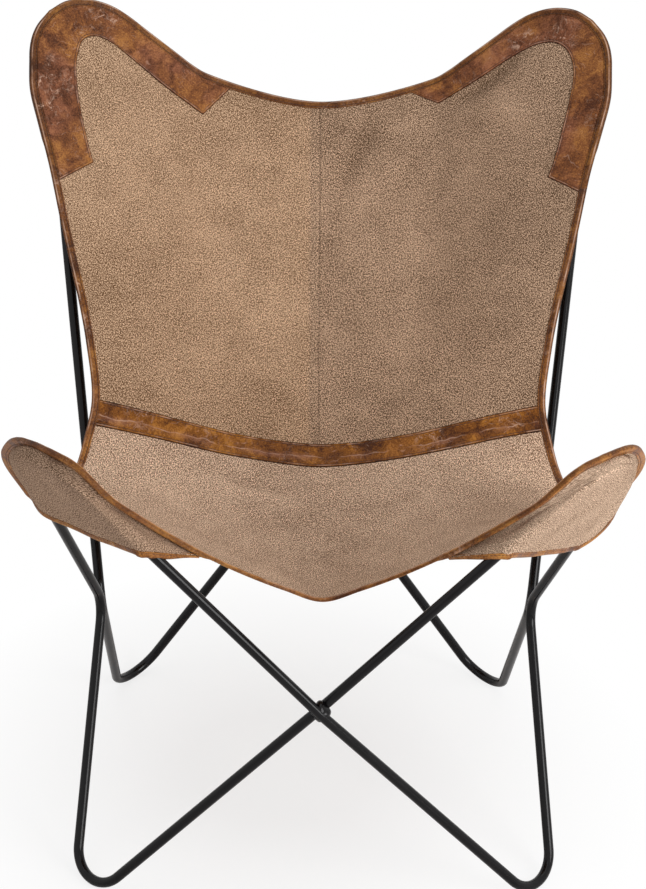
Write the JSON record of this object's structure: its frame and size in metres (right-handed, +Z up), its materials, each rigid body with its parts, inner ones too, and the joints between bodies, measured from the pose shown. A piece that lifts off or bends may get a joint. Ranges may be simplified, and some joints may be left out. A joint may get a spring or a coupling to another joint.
{
  "type": "butterfly sling chair",
  "caption": "Low lounge chair with a canvas sling bound in leather, held by pockets on the hairpin ends of two welded loops of black steel rod",
  "frame": {"origin": "on the floor, under the middle of the chair's bounding box", "axes": "+X to the right of someone who faces the chair, +Y from the chair's front to its back, +Z up"},
  "size_m": [0.7608, 0.8, 0.8941],
  "materials": {
    "black_rod": "satin black paint on solid steel rod",
    "canvas_warm": "coarse undyed canvas, warm tan",
    "canvas_grey": "coarse undyed canvas, greyer tan",
    "canvas_seat": "coarse undyed canvas, tan",
    "canvas_pocket": "coarse undyed canvas, pale beige",
    "brown_leather": "worn, waxed brown leather with pale scuffs"
  },
  "bodies": {
    "root": {"front_frame_loop": "black_rod", "back_frame_loop": "black_rod", "front_cross_weld": "black_rod", "back_cross_weld": "black_rod", "left_side_weld": "black_rod", "right_side_weld": "black_rod", "back_panel_left": "canvas_warm", "back_panel_right": "canvas_grey", "seat_panel": "canvas_seat", "lumbar_strap": "brown_leather", "ear_patch_left": "brown_leather", "ear_patch_right": "brown_leather", "top_binding": "brown_leather", "side_binding_right": "brown_leather", "front_binding": "brown_leather", "side_binding_left": "brown_leather", "ear_pocket_left": "canvas_pocket", "ear_mouth_binding_left": "brown_leather", "wing_pocket_left": "canvas_pocket", "wing_mouth_binding_left": "brown_leather", "ear_pocket_right": "canvas_pocket", "ear_mouth_binding_right": "brown_leather", "wing_pocket_right": "canvas_pocket", "wing_mouth_binding_right": "brown_leather"}
  },
  "joints": []
}
